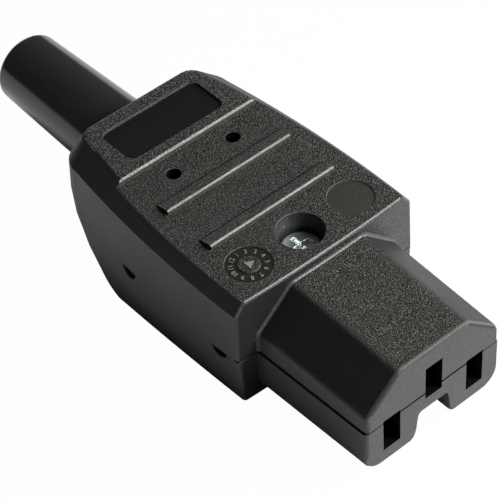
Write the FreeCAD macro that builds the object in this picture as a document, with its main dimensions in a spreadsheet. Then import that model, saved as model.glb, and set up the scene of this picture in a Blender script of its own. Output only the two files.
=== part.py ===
"""Rewireable appliance connector: two moulded halves, a bend relief sleeve and the contacts inside.

The model is drawn with Y running back from the mating face and Z rising from the line and neutral
row. Every sub-part is then placed so that the origin lies under the middle of the finished part.
"""
import FreeCAD, Part
import math
import os
import re
import Sketcher

# Driving dimensions in millimetres: name, value, meaning.
DIMENSIONS = [
    ("pin_pitch", 14.0, "line slot to neutral slot"),
    ("earth_rise", 4.0, "earth slot above the line and neutral row"),
    ("slot_width", 2.8, "pin slot, across"),
    ("slot_height", 5.4, "pin slot, upright"),
    ("face_wall", 1.3, "wall of the mating face"),
    ("nose_length", 19.2, "mating face to body front"),
    ("nose_face_width", 22.1, "nose across at the mating face"),
    ("nose_root_width", 23.3, "nose across at its root"),
    ("nose_face_flat", 11.4, "flat top across at the mating face"),
    ("nose_root_flat", 12.1, "flat top across at its root"),
    ("nose_face_top", 9.8, "flat top above the pin row at the mating face"),
    ("nose_root_top", 10.8, "flat top above the pin row at the root"),
    ("nose_face_shoulder", 5.0, "foot of the nose bevel at the mating face"),
    ("nose_root_shoulder", 5.4, "foot of the nose bevel at the root"),
    ("nose_face_drop", 5.1, "nose floor below the pin row at the mating face"),
    ("nose_root_drop", 5.1, "nose floor below the pin row at the root"),
    ("nose_embed", 1.0, "length of the nose root inside the body front"),
    ("nose_step", 0.2, "lower half of the nose proud of the upper half, each side"),
    ("nose_gap", 0.45, "open line between the two halves of the nose and of the body front"),
    ("nose_gap_depth", 0.8, "open line into the walls"),
    ("nose_corner", 2.5, "radius of the nose's lower corners"),
    ("nose_soft", 1.6, "radius along the nose bevels"),
    ("nose_edge", 0.5, "radius round the mating face"),
    ("key_mouth", 6.8, "key groove across at its mouth"),
    ("key_crown", 5.0, "key groove across at its ceiling"),
    ("key_ceiling", 0.5, "key groove ceiling below the pin row"),
    ("key_round", 0.7, "radius inside the key groove"),
    ("body_length", 38.4, "body front to body rear"),
    ("parting_rise", 2.25, "parting plane above the pin row"),
    ("shoulder_rise", 10.3, "foot of the body bevel above the pin row"),
    ("platform_rise", 12.9, "rear platform above the pin row"),
    ("platform_step", 0.8, "rear platform above the main top"),
    ("platform_length", 11.9, "rear platform, step to body rear"),
    ("floor_drop", 5.8, "underside below the pin row"),
    ("front_parting_width", 29.7, "body across at the front, parting plane"),
    ("front_shoulder_draft", 0.3, "front narrower at the bevel foot than at the parting plane"),
    ("front_top_draft", 4.3, "front narrower at platform level than at the parting plane"),
    ("front_floor_draft", 1.0, "front narrower at the underside than at the parting plane"),
    ("rear_parting_width", 27.0, "body across at the rear, parting plane"),
    ("rear_shoulder_draft", 1.15, "rear narrower at the bevel foot than at the parting plane"),
    ("rear_top_draft", 7.6, "rear narrower at platform level than at the parting plane"),
    ("rear_floor_spread", 2.7, "rear wider at the underside than at the parting plane"),
    ("side_bow", 190.0, "plan radius of the body sides"),
    ("floor_bow", 600.0, "plan radius of the underside's sides"),
    ("floor_round", 0.6, "rounding of the underside's edge"),
    ("top_bow", 150.0, "plan radius of the top edges"),
    ("front_bow", 260.0, "plan radius of the body front"),
    ("front_corner", 0.5, "reach of the front corners"),
    ("front_corner_bow", 0.55, "plan radius of the front corners"),
    ("rear_corner", 4.1, "reach of the rear corners"),
    ("rear_corner_bow", 4.0, "plan radius of the rear corners"),
    ("waist_corner_bow", 12.0, "plan radius of the rear corners halfway down the lower half"),
    ("upper_bulge", 0.16, "rear corners proud halfway up the upper half"),
    ("lower_bulge", 0.23, "rear corners proud halfway down the lower half"),
    ("floor_corner_run", 12.3, "underside rear corners, along the body"),
    ("floor_corner_reach", 5.4, "underside rear corners, across"),
    ("floor_corner_bow", 26.0, "plan radius of the underside rear corners"),
    ("top_corner", 2.0, "reach of the platform's rear corners"),
    ("top_corner_bow", 2.2, "plan radius of the platform's rear corners"),
    ("rear_lean", 0.85, "lean of the rear wall, parting plane to bevel foot"),
    ("rear_bevel", 0.8, "platform rear edge ahead of the bevel foot"),
    ("rear_sweep", 4.0, "run of the rear curve under the parting plane"),
    ("rear_sweep_bow", 12.7, "radius of the rear curve"),
    ("wall", 1.8, "side and front walls of the body"),
    ("roof_wall", 2.0, "roof under the main top"),
    ("floor_wall", 1.6, "floor of the lower half"),
    ("rib_pitch", 8.45, "rib to rib, and last rib to platform step"),
    ("rib_length", 2.3, "rib along the body"),
    ("rib_width", 20.6, "rib across the body"),
    ("rib_height", 0.75, "front step of a rib"),
    ("rib_tail", 0.2, "rear step of a rib"),
    ("panel_width", 15.8, "sunk panel across"),
    ("panel_length", 6.8, "sunk panel along the body"),
    ("panel_setback", 1.9, "platform step to sunk panel"),
    ("panel_depth", 0.3, "sunk panel below the platform"),
    ("panel_round", 1.2, "corners of the sunk panel"),
    ("mark_spread", 17.0, "dial to blank disc"),
    ("mark_diameter", 6.2, "dial and blank disc"),
    ("mark_depth", 0.15, "dial and blank disc below the top"),
    ("dial_hub", 2.9, "raised hub of the dial"),
    ("pry_length", 2.9, "pry notch along the parting line"),
    ("pry_height", 1.35, "pry notch below the parting line"),
    ("pry_depth", 1.2, "pry notch into the side wall"),
    ("pry_front_setback", 3.6, "body front to front pry notch"),
    ("pry_spacing", 18.5, "pry notch to pry notch"),
    ("screw_setback", 4.6, "body front to cover screw"),
    ("screw_shank", 3.2, "cover screw shank"),
    ("screw_head", 5.6, "cover screw head"),
    ("screw_head_height", 2.0, "cover screw head, upright"),
    ("screw_sink", 2.8, "cover screw head below the top"),
    ("well_diameter", 6.3, "cover screw well"),
    ("post_diameter", 7.6, "cover screw post"),
    ("post_foot_diameter", 9.6, "foot of the cover screw post, under the earth ring"),
    ("screw_play", 0.15, "radial play of the cover screw"),
    ("nut_flats", 6.0, "cover nut across its flats"),
    ("nut_height", 2.4, "cover nut, upright"),
    ("nut_sink", 0.2, "cover nut above the underside"),
    ("nut_play", 0.15, "play of the cover nut in its pocket"),
    ("sleeve_reach", 25.9, "sleeve beyond the body rear"),
    ("sleeve_root", 12.0, "sleeve diameter at the body rear"),
    ("sleeve_tip", 10.5, "sleeve diameter at its end"),
    ("sleeve_bore", 6.0, "sleeve bore"),
    ("sleeve_round", 0.9, "radius round the sleeve's end"),
    ("sleeve_play", 0.15, "play of the sleeve in its seat"),
    ("flange_diameter", 14.0, "sleeve flange"),
    ("flange_length", 2.0, "sleeve flange along the body"),
    ("flange_setback", 9.0, "body rear to the back of the flange"),
    ("seat_length", 11.8, "seat block of the sleeve, along the body"),
    ("clamp_from_rear", 14.9, "body rear to clamp screws"),
    ("clamp_spacing", 10.0, "clamp screw to clamp screw"),
    ("clamp_width", 15.0, "cable clamp across"),
    ("clamp_length", 5.0, "cable clamp along the body"),
    ("clamp_top", 0.7, "cable clamp's top above the pin row"),
    ("clamp_height", 2.8, "cable clamp, upright"),
    ("clamp_round", 0.8, "corners of the cable clamp"),
    ("cable_diameter", 6.0, "cable between the clamp screws"),
    ("clamp_boss", 3.9, "clamp screw boss"),
    ("clamp_shank", 2.6, "clamp screw shank"),
    ("clamp_head", 4.6, "clamp screw head"),
    ("clamp_head_height", 1.5, "clamp screw head, upright"),
    ("clamp_grip", 6.5, "clamp screw inside its boss"),
    ("clamp_vent", 2.0, "open end of the boss bore on the top"),
    ("small_play", 0.05, "radial play of the small screws"),
    ("sheet", 0.6, "contact sheet"),
    ("sleeve_width", 3.1, "contact sleeve across"),
    ("contact_start", 4.5, "mating face to contact sleeve"),
    ("contact_length", 12.0, "contact sleeve along the body"),
    ("contact_seam", 0.6, "open seam along a contact sleeve"),
    ("chamber_play", 0.2, "play round a contact in its chamber"),
    ("tail_width", 3.0, "contact tail across"),
    ("pole_setback", 11.0, "body front to line and neutral terminals"),
    ("earth_setback", 17.2, "body front to earth terminal"),
    ("terminal_pad", 6.2, "terminal pad, square"),
    ("ring_width", 1.8, "earth ring round the post"),
    ("ring_play", 0.2, "radial play of the earth ring"),
    ("terminal_shank", 2.8, "terminal screw shank"),
    ("terminal_head", 5.0, "terminal screw head"),
    ("terminal_head_height", 1.6, "terminal screw head, upright"),
    ("terminal_collar", 4.0, "drawn collar under a terminal pad"),
    ("terminal_collar_height", 0.9, "drawn collar, upright"),
    ("pedestal", 6.6, "pedestal under a terminal"),
    ("plate_side", 5.4, "wire plate, square"),
    ("plate_height", 0.8, "wire plate, upright"),
    ("spring_sheet", 0.35, "helper spring sheet"),
    ("spring_length", 5.0, "helper spring along the contact"),
    ("spring_setback", 3.0, "front of contact sleeve to helper spring"),
    ("drive_width", 0.8, "cross recess, across one arm"),
    ("drive_share", 0.62, "cross recess length over its head's diameter"),
    ("drive_depth", 1.0, "cross recess, deep"),
    ("head_round", 0.5, "radius round a screw head"),
]

# Places worked out from the driving dimensions.
BODY_FRONT = "nose_length"
BODY_REAR = "(nose_length + body_length)"
PARTING_REAR = "(nose_length + body_length - rear_lean)"
TOP_REAR = "(nose_length + body_length - rear_bevel)"
STEP_Y = "(nose_length + body_length - platform_length)"
TOP_Z = "(platform_rise - platform_step)"
ROOF_Z = "(platform_rise - platform_step - roof_wall)"
ROOF_MIDDLE = "(platform_rise - platform_step - roof_wall/2)"
FLOOR_MIDDLE = "(floor_wall/2 - floor_drop)"
CAVITY_FLOOR = "(floor_wall - floor_drop)"
CAVITY_FRONT = "(nose_length + wall)"
SEAT_FRONT = "(nose_length + body_length - seat_length)"
FLANGE_REAR = "(nose_length + body_length - flange_setback)"
SCREW_Y = "(nose_length + screw_setback)"
SCREW_BORE = "(screw_shank + 2*screw_play)"
SCREW_SEAT = "(platform_rise - platform_step - screw_sink - screw_head_height)"
CLAMP_Y = "(nose_length + body_length - clamp_from_rear)"
POLE_X = "(pin_pitch/2)"
POLE_Y = "(nose_length + pole_setback)"
EARTH_Y = "(nose_length + earth_setback)"
CONTACT_DROP = "(slot_height/2)"
CONTACT_REAR = "(contact_start + contact_length)"
EARTH_SEAT = "(earth_rise - slot_height/2)"
CHAMBER_WIDTH = "(sleeve_width + 2*spring_sheet + 2*chamber_play)"
CHAMBER_RISE = "(slot_height/2 + spring_sheet + chamber_play)"
RING_DIAMETER = "(post_diameter + 2*ring_play + 2*ring_width)"
NUT_TOP = "(nut_sink + nut_height - floor_drop)"
BELOW_FLOOR = "(-2*floor_drop)"
ABOVE_PARTING = "(2*parting_rise)"
GAP_TOP = "(parting_rise + nose_gap/2)"
GAP_FLOOR = "(parting_rise - nose_gap/2)"
PRY_FRONT = "(nose_length + pry_front_setback)"
PRY_DIAMETER = "((pry_length/2)^2/pry_height + pry_height)"
PART_LENGTH = "(nose_length + body_length + sleeve_reach)"

# The three pins: pole, place across, and rise above the line and neutral row.
PINS = [("line", POLE_X, "0"), ("neutral", f"(-{POLE_X})", "0"), ("earth", "0", "earth_rise")]

# Each terminal: its pole, its place across and along, and the height that its pad rests at.
TERMINALS = [
    ("line", POLE_X, POLE_Y, f"(-{CONTACT_DROP})"),
    ("neutral", f"(-{POLE_X})", POLE_Y, f"(-{CONTACT_DROP})"),
    ("earth", "0", EARTH_Y, EARTH_SEAT),
]

# Widths of the body at its front and rear, level by level.
PARTING_WIDTHS = ("front_parting_width", "rear_parting_width")
SHOULDER_WIDTHS = (
    "(front_parting_width - front_shoulder_draft)",
    "(rear_parting_width - rear_shoulder_draft)",
)
TOP_WIDTHS = ("(front_parting_width - front_top_draft)", "(rear_parting_width - rear_top_draft)")
FLOOR_WIDTHS = ("(front_parting_width - front_floor_draft)", "(rear_parting_width + rear_floor_spread)")
UPPER_WAIST_WIDTHS = (
    "(front_parting_width - front_shoulder_draft/2)",
    "(rear_parting_width - rear_shoulder_draft/2 + 2*upper_bulge)",
)
LOWER_WAIST_WIDTHS = (
    "(front_parting_width - front_floor_draft/2)",
    "(rear_parting_width + rear_floor_spread/2 + 2*lower_bulge)",
)

# Rear corners in plan: run along the body, reach across and radius.
REAR_CORNER = ("rear_corner", "rear_corner", "rear_corner_bow")
TOP_CORNER = ("top_corner", "top_corner", "top_corner_bow")
FLOOR_CORNER = ("floor_corner_run", "floor_corner_reach", "floor_corner_bow")
WAIST_CORNER = (
    "(rear_corner + floor_corner_run)/2",
    "(rear_corner + floor_corner_reach)/2",
    "waist_corner_bow",
)

ALIASES = {name for name, _, _ in DIMENSIONS}
NEAR = 0.01
MOSTLY = 0.9
EDGE_TURNS = (0.0, math.pi / 4, math.pi / 2)
BEVEL_SHARE = round(math.tan(math.pi / 8), 4)

doc = FreeCAD.newDocument("appliance_connector")
sheet = doc.addObject("Spreadsheet::Sheet", "Sizes")
for row, (alias, size, meaning) in enumerate(DIMENSIONS, start=1):
    sheet.set(f"A{row}", meaning)
    sheet.set(f"B{row}", str(size))
    sheet.setAlias(f"B{row}", alias)
doc.recompute()


def sized(text):
    """Write an expression's dimension names as cells of the sheet."""
    return re.sub(r"[a-z_]+", lambda word: f"Sizes.{word[0]}" if word[0] in ALIASES else word[0], text)


def value(text):
    """Work out an expression as a number."""
    return float(sheet.evalExpression(sized(text)))


def bind(item, links):
    """Tie properties of an object to expressions on the sheet."""
    for name, text in links.items():
        item.setExpression(name, sized(text))


def new_body(label):
    """Start a sub-part, placed with the shared origin under the middle of the part."""
    body = doc.addObject("PartDesign::Body", label)
    body.Label = label
    bind(body, {"Placement.Base.y": f"-{PART_LENGTH}/2", "Placement.Base.z": "floor_drop"})
    return body


def mirrored(half):
    """Complete a closed outline from the points of its right half, listed anticlockwise."""
    left = [(f"-({across})", along) for across, along in reversed(half)]
    return half + left


def bowed(start, end, radius):
    """Give the arc that leads anticlockwise from one point to another."""
    chord = end - start
    height = (radius**2 - (chord.Length / 2) ** 2) ** 0.5
    inward = FreeCAD.Vector(-chord.y, chord.x, 0).normalize()
    circle = Part.Circle((start + end) / 2 + inward * height, FreeCAD.Vector(0, 0, 1), radius)
    return Part.ArcOfCircle(circle, circle.parameter(start), circle.parameter(end))


def outline(body, name, role, level, points, bows=None, rounds=None, origin=("0", "0")):
    """Draw a closed outline, listed anticlockwise, on one of the body's planes.

    Each edge runs from its point to the next one. The edges in bows are arcs that turn anticlockwise,
    and the corners in rounds are rounded between straight edges.
    """
    bows = bows or {}
    rounds = rounds or {}
    plane = next(item for item in body.Origin.OriginFeatures if item.Role == role)
    sketch = body.newObject("Sketcher::SketchObject", name)
    sketch.AttachmentSupport = [(plane, "")]
    sketch.MapMode = "FlatFace"
    direction = "-" if role == "XZ_Plane" else ""
    bind(sketch, {
        "AttachmentOffset.Base.x": origin[0],
        "AttachmentOffset.Base.y": origin[1],
        "AttachmentOffset.Base.z": f"{direction}({level})",
    })
    count = len(points)
    corners = [FreeCAD.Vector(value(across), value(along), 0) for across, along in points]
    starts = list(corners)
    ends = corners[1:] + corners[:1]
    for corner, text in rounds.items():
        back = (corners[corner - 1] - corners[corner]).normalize()
        ahead = (corners[(corner + 1) % count] - corners[corner]).normalize()
        trim = value(text) / math.tan(back.getAngle(ahead) / 2)
        starts[corner] = corners[corner] + ahead * trim
        ends[corner - 1] = corners[corner] + back * trim
    for edge, (start, end) in enumerate(zip(starts, ends)):
        if edge in bows:
            sketch.addGeometry(bowed(start, end, value(bows[edge])))
        else:
            sketch.addGeometry(Part.LineSegment(start, end))

    def fix(kind, text, size, *places):
        number = sketch.addConstraint(Sketcher.Constraint(kind, *places, size))
        sketch.setExpression(f"Constraints[{number}]", sized(text))

    for corner, (across, along) in enumerate(points):
        before = (corner - 1) % count
        held = (corner, 1)
        if corner in rounds:
            point = sketch.addGeometry(Part.Point(corners[corner]), True)
            arc = sketch.addGeometry(bowed(ends[before], starts[corner], value(rounds[corner])))
            sketch.addConstraint([
                Sketcher.Constraint("PointOnObject", point, 1, before),
                Sketcher.Constraint("PointOnObject", point, 1, corner),
                Sketcher.Constraint("Tangent", before, 2, arc, 1),
                Sketcher.Constraint("Tangent", arc, 2, corner, 1),
            ])
            fix("Radius", rounds[corner], value(rounds[corner]), arc)
            held = (point, 1)
        else:
            sketch.addConstraint(Sketcher.Constraint("Coincident", before, 2, corner, 1))
        fix("DistanceX", across, corners[corner].x, -1, 1, *held)
        fix("DistanceY", along, corners[corner].y, -1, 1, *held)
    for edge, text in bows.items():
        fix("Radius", text, value(text), edge)
    doc.recompute()
    return sketch


def loft(body, name, sections):
    """Join outlines by straight walls."""
    feature = body.newObject("PartDesign::AdditiveLoft", name)
    feature.Profile = sections[0]
    feature.Sections = sections[1:]
    feature.Ruled = True
    doc.recompute()
    return feature


def extrude(body, kind, name, sketch, length, symmetric=False, reverse=False):
    """Pad or pocket an outline."""
    feature = body.newObject(f"PartDesign::{kind}", name)
    feature.Profile = sketch
    bind(feature, {"Length": length})
    feature.Midplane = symmetric
    feature.Reversed = reverse
    doc.recompute()
    return feature


def block(body, kind, name, across, along, upright):
    """Add or cut a block given by its low and high end on each axis."""
    feature = body.newObject(f"PartDesign::{kind}Box", name)
    spans = (("Length", "x", across), ("Width", "y", along), ("Height", "z", upright))
    for size, axis, (low, high) in spans:
        bind(feature, {size: f"({high}) - ({low})", f"Placement.Base.{axis}": low})
    doc.recompute()
    return feature


TURNS = {
    "x": FreeCAD.Rotation(FreeCAD.Vector(0, 1, 0), 90),
    "y": FreeCAD.Rotation(FreeCAD.Vector(1, 0, 0), -90),
    "z": FreeCAD.Rotation(),
}


def drum(body, kind, name, axis, centre, diameter, span):
    """Add or cut a cylinder along one axis, between two places on it."""
    feature = body.newObject(f"PartDesign::{kind}Cylinder", name)
    feature.Placement = FreeCAD.Placement(FreeCAD.Vector(), TURNS[axis])
    low, high = span
    base = dict(zip([name for name in "xyz" if name != axis], centre))
    base[axis] = low
    bind(feature, {"Radius": f"({diameter})/2", "Height": f"({high}) - ({low})"})
    bind(feature, {f"Placement.Base.{name}": text for name, text in base.items()})
    doc.recompute()
    return feature


def hexagon(body, kind, name, flats, span):
    """Add or cut a hexagonal prism on the cover screw's axis."""
    feature = body.newObject(f"PartDesign::{kind}Prism", name)
    low, high = span
    feature.Polygon = 6
    bind(feature, {
        "Circumradius": f"({flats})/{round(math.sqrt(3), 6)}",
        "Height": f"({high}) - ({low})",
        "Placement.Base.y": SCREW_Y,
        "Placement.Base.z": low,
    })
    doc.recompute()
    return feature


def soften(body, name, radius, chosen):
    """Round the edges of the body that the test picks."""
    base = body.Tip
    names = [f"Edge{number}" for number, edge in enumerate(base.Shape.Edges, start=1) if chosen(edge)]
    if not names:
        raise RuntimeError(f"{body.Label}: no edge found for {name}")
    feature = body.newObject("PartDesign::Fillet", name)
    feature.Base = (base, names)
    bind(feature, {"Radius": radius})
    doc.recompute()
    return feature


def runs_along(edge, axis):
    """Say whether an edge goes straight, and mostly along one axis."""
    if len(edge.Vertexes) < 2:
        return False
    reach = edge.Vertexes[1].Point - edge.Vertexes[0].Point
    return abs(getattr(reach, axis)) > MOSTLY * edge.Length


def middle(edge):
    """Give the centre of an edge's box."""
    return edge.BoundBox.Center


def nose(body, half, rounds):
    """Draw out one half of the tapered nose, with its edge rounded at the mating face."""
    sections = []
    for turn in EDGE_TURNS:
        along = f"nose_edge*{1 - math.cos(turn)}"
        inset = f"nose_edge*{1 - math.sin(turn)}"
        sections.append(("face", along, inset))
    sections.append(("root", f"{BODY_FRONT} + nose_embed", "0"))
    outlines = []
    for number, (end, along, inset) in enumerate(sections, start=1):
        name = f"nose_section_{number}"
        outlines.append(outline(body, name, "XZ_Plane", along, mirrored(half(end, inset)), rounds=rounds))
    loft(body, "nose", outlines)


def plan_section(body, name, level, widths, end, corner, side_bow="side_bow", inset="0"):
    """Draw the body's plan at one height: front, bowed sides, rear corners and rear."""
    front, rear = widths
    run, reach, corner_bow = corner
    half = [
        (f"{front}/2 - front_corner - {inset}", f"{BODY_FRONT} + {inset}"),
        (f"{front}/2 - {inset}", f"{BODY_FRONT} + front_corner + {inset}"),
        (f"{rear}/2 - {inset}", f"{end} - {run} - {inset}"),
        (f"{rear}/2 - {reach} - {inset}", f"{end} - {inset}"),
    ]
    right = ["front_corner_bow", side_bow, corner_bow]
    edges = [*right, None, *reversed(right), "front_bow"]
    bows = {edge: bow for edge, bow in enumerate(edges) if bow}
    return outline(body, name, "XY_Plane", level, mirrored(half), bows)


def parting_section(body):
    """Draw the body's plan at the parting plane, which both halves share."""
    return plan_section(body, "parting_plan", "parting_rise", PARTING_WIDTHS, PARTING_REAR, REAR_CORNER)


def floor_sections(body):
    """Draw the plans that round the edge of the underside."""
    sections = []
    for number, turn in enumerate(EDGE_TURNS, start=1):
        level = f"floor_round*{1 - math.sin(turn)} - floor_drop"
        inset = f"floor_round*{1 - math.cos(turn)}"
        name = f"floor_plan_{number}"
        sections.append(plan_section(
            body, name, level, FLOOR_WIDTHS, PARTING_REAR, FLOOR_CORNER, "floor_bow", inset))
    return sections


def open_line(body, low, high, lip_low, lip_high):
    """Part the halves at the body front and the nose, and close the line again behind their walls."""
    block(body, "Subtractive", "open_line", ("-front_parting_width", "front_parting_width"),
          (f"{BODY_FRONT} - wall", f"{BODY_FRONT} + nose_gap_depth"), (low, high))
    lip = "nose_face_width/2 - nose_gap_depth"
    block(body, "Additive", "nose_lip", (f"-({lip})", lip),
          ("nose_gap_depth", f"{BODY_FRONT} + nose_embed"), (lip_low, lip_high))


def cavity(body, name, level, depth, reverse):
    """Hollow the body between its front wall and the sleeve's seat block."""
    half = [
        ("front_parting_width/2 - wall", CAVITY_FRONT),
        ("rear_parting_width/2 - wall", SEAT_FRONT),
    ]
    sketch = outline(body, f"{name}_outline", "XY_Plane", level, mirrored(half))
    extrude(body, "Pocket", name, sketch, depth, reverse=reverse)


def pin_slots(body):
    """Cut the three pin slots through the mating face."""
    for label, across, rise in PINS:
        block(
            body, "Subtractive", f"{label}_slot",
            (f"{across} - slot_width/2", f"{across} + slot_width/2"),
            ("-face_wall", "2*face_wall"),
            (f"{rise} - slot_height/2", f"{rise} + slot_height/2"),
        )


def chamber(body, label, across, low, high):
    """Cut the chamber that holds one contact, from behind the face into the cavity."""
    block(
        body, "Subtractive", f"{label}_chamber",
        (f"{across} - {CHAMBER_WIDTH}/2", f"{across} + {CHAMBER_WIDTH}/2"),
        ("face_wall", f"{CAVITY_FRONT} + wall"),
        (low, high),
    )


def sleeve_seat(body):
    """Bore the seat block for the sleeve and its flange."""
    drum(
        body, "Subtractive", "sleeve_seat", "y", ("0", "parting_rise"),
        "sleeve_root + 2*sleeve_play", (f"{SEAT_FRONT} - wall", f"{BODY_REAR} + wall"),
    )
    drum(
        body, "Subtractive", "flange_groove", "y", ("0", "parting_rise"),
        "flange_diameter + 2*sleeve_play",
        (f"{FLANGE_REAR} - flange_length - sleeve_play", FLANGE_REAR),
    )


def upper_housing():
    """Mould the upper half: nose, bevelled top with ribs and platform, posts and chambers."""
    body = new_body("upper_housing")
    nose(body, lambda end, inset: [
        (f"nose_{end}_width/2 - {inset}", GAP_TOP),
        (f"nose_{end}_width/2 - {inset}", f"nose_{end}_shoulder - {BEVEL_SHARE}*{inset}"),
        (f"nose_{end}_flat/2 - {BEVEL_SHARE}*{inset}", f"nose_{end}_top - {inset}"),
    ], {corner: "nose_soft" for corner in (1, 2, 3, 4)})

    waist = plan_section(body, "waist_plan", "(parting_rise + shoulder_rise)/2", UPPER_WAIST_WIDTHS,
                         f"({PARTING_REAR} + {BODY_REAR})/2 + upper_bulge", REAR_CORNER)
    shoulder = plan_section(body, "shoulder_plan", "shoulder_rise", SHOULDER_WIDTHS, BODY_REAR, REAR_CORNER)
    top = plan_section(body, "platform_plan", "platform_rise", TOP_WIDTHS, TOP_REAR, TOP_CORNER, "top_bow")
    loft(body, "shell", [parting_section(body), waist, shoulder, top])
    open_line(body, "0", GAP_TOP, "parting_rise", "parting_rise + nose_gap")
    block(body, "Subtractive", "main_top", ("-front_parting_width", "front_parting_width"),
          ("0", STEP_Y), (TOP_Z, "platform_rise + platform_step"))
    for number in (1, 2):
        front = f"{STEP_Y} - {number}*rib_pitch"
        wedge = [
            (front, ROOF_MIDDLE),
            (f"{front} + rib_length", ROOF_MIDDLE),
            (f"{front} + rib_length", f"{TOP_Z} + rib_tail"),
            (front, f"{TOP_Z} + rib_height"),
        ]
        sketch = outline(body, f"rib_{number}_outline", "YZ_Plane", "0", wedge)
        extrude(body, "Pad", f"rib_{number}", sketch, "rib_width", symmetric=True)

    block(body, "Subtractive", "panel", ("-panel_width/2", "panel_width/2"),
          (f"{STEP_Y} + panel_setback", f"{STEP_Y} + panel_setback + panel_length"),
          ("platform_rise - panel_depth", "platform_rise + panel_depth"))
    panel_floor = value("platform_rise - panel_depth")
    panel_side = value("panel_width/2")
    soften(body, "panel_rounds", "panel_round",
           lambda edge: runs_along(edge, "z") and abs(edge.BoundBox.ZMin - panel_floor) < NEAR
           and abs(abs(middle(edge).x) - panel_side) < NEAR)

    cavity(body, "upper_cavity", "parting_rise", f"{ROOF_Z} - parting_rise", True)
    for label, across, rise in PINS:
        chamber(body, label, across, "0", f"{rise} + {CHAMBER_RISE}")
    pin_slots(body)

    post = ("0", SCREW_Y)
    drum(body, "Additive", "screw_post", "z", post, "post_diameter", ("parting_rise", ROOF_MIDDLE))
    drum(body, "Subtractive", "screw_bore", "z", post, SCREW_BORE, ("0", "platform_rise"))
    drum(body, "Subtractive", "screw_well", "z", post, "well_diameter", (SCREW_SEAT, "platform_rise"))

    block(body, "Additive", "cable_rib", ("-clamp_spacing/2", "clamp_spacing/2"),
          (f"{CLAMP_Y} - wall/2", f"{CLAMP_Y} + wall/2"), ("parting_rise + cable_diameter/2", ROOF_MIDDLE))
    for label, sign in (("left", "-"), ("right", "")):
        place = (f"{sign}clamp_spacing/2", CLAMP_Y)
        drum(body, "Additive", f"clamp_boss_{label}", "z", place, "clamp_boss", ("clamp_top", ROOF_MIDDLE))
        drum(body, "Subtractive", f"clamp_bore_{label}", "z", place, "clamp_shank + 2*small_play",
             ("0", "clamp_top + clamp_grip + small_play"))
        drum(body, "Subtractive", f"clamp_vent_{label}", "z", place, "clamp_vent",
             ("clamp_top", "platform_rise"))

    for label, sign in (("dial", "-"), ("blank_disc", "")):
        drum(body, "Subtractive", label, "z", (f"{sign}mark_spread/2", SCREW_Y), "mark_diameter",
             (f"{TOP_Z} - mark_depth", "platform_rise"))
    drum(body, "Additive", "dial_centre", "z", ("-mark_spread/2", SCREW_Y), "dial_hub", (ROOF_MIDDLE, TOP_Z))
    sleeve_seat(body)
    return body


def lower_housing():
    """Mould the lower half: nose with its key groove, swept rear, posts, pedestals and chambers."""
    body = new_body("lower_housing")
    nose(body, lambda end, inset: [
        (f"nose_{end}_width/2 + nose_step - {inset}", f"{inset} - nose_{end}_drop"),
        (f"nose_{end}_width/2 + nose_step - {inset}", GAP_FLOOR),
    ], {0: "nose_corner", 3: "nose_corner"})

    groove = mirrored([("key_mouth/2", "-nose_root_drop - wall"), ("key_crown/2", "-key_ceiling")])
    sketch = outline(body, "key_outline", "XZ_Plane", "0", groove, rounds={1: "key_round", 2: "key_round"})
    extrude(body, "Pocket", "key_groove", sketch, BODY_FRONT)

    waist = plan_section(body, "waist_plan", "(parting_rise - floor_drop + floor_round)/2",
                         LOWER_WAIST_WIDTHS, f"{PARTING_REAR} + lower_bulge", WAIST_CORNER)
    loft(body, "shell", [parting_section(body), waist, *floor_sections(body)])
    open_line(body, GAP_FLOOR, ABOVE_PARTING, "parting_rise - nose_gap", "parting_rise")
    sweep = [
        (f"{PARTING_REAR} - rear_sweep", "-floor_drop"),
        (PARTING_REAR, "parting_rise"),
        (f"{PARTING_REAR} + rear_sweep", "parting_rise"),
        (f"{PARTING_REAR} + rear_sweep", "-floor_drop - wall"),
        (f"{PARTING_REAR} - rear_sweep", "-floor_drop - wall"),
    ]
    sketch = outline(body, "rear_sweep_outline", "YZ_Plane", "0", sweep, {0: "rear_sweep_bow"})
    extrude(body, "Pocket", "rear_sweep", sketch, "2*front_parting_width", symmetric=True)

    cavity(body, "lower_cavity", "parting_rise", f"parting_rise - {CAVITY_FLOOR}", False)
    for label, across, rise in PINS:
        chamber(body, label, across, f"{rise} - {CONTACT_DROP}", ABOVE_PARTING)
    pin_slots(body)

    post = ("0", SCREW_Y)
    drum(body, "Subtractive", "ring_recess", "z", post, f"{RING_DIAMETER} + 2*ring_play",
         (EARTH_SEAT, ABOVE_PARTING))
    drum(body, "Additive", "post_foot", "z", post, "post_foot_diameter", (FLOOR_MIDDLE, EARTH_SEAT))
    drum(body, "Additive", "post_spigot", "z", post, "post_diameter", (CAVITY_FLOOR, "parting_rise"))
    drum(body, "Subtractive", "screw_bore", "z", post, SCREW_BORE, (BELOW_FLOOR, ABOVE_PARTING))
    hexagon(body, "Subtractive", "nut_pocket", "nut_flats + 2*nut_play", (BELOW_FLOOR, NUT_TOP))

    for label, across, along, seat in TERMINALS:
        place = (across, along)
        drum(body, "Additive", f"{label}_pedestal", "z", place, "pedestal", (FLOOR_MIDDLE, seat))
        drum(body, "Subtractive", f"{label}_pedestal_bore", "z", place, "terminal_collar + 2*chamber_play",
             (CAVITY_FLOOR, ABOVE_PARTING))

    for name, along in (("front", PRY_FRONT), ("rear", f"{PRY_FRONT} + pry_spacing")):
        centre = (along, f"parting_rise - pry_height + {PRY_DIAMETER}/2")
        inner = "front_parting_width/2 - pry_depth"
        outer = "front_parting_width"
        for label, span in (("left", (f"-{outer}", f"-({inner})")), ("right", (inner, outer))):
            drum(body, "Subtractive", f"pry_{name}_{label}", "x", centre, PRY_DIAMETER, span)
    sleeve_seat(body)
    return body


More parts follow.
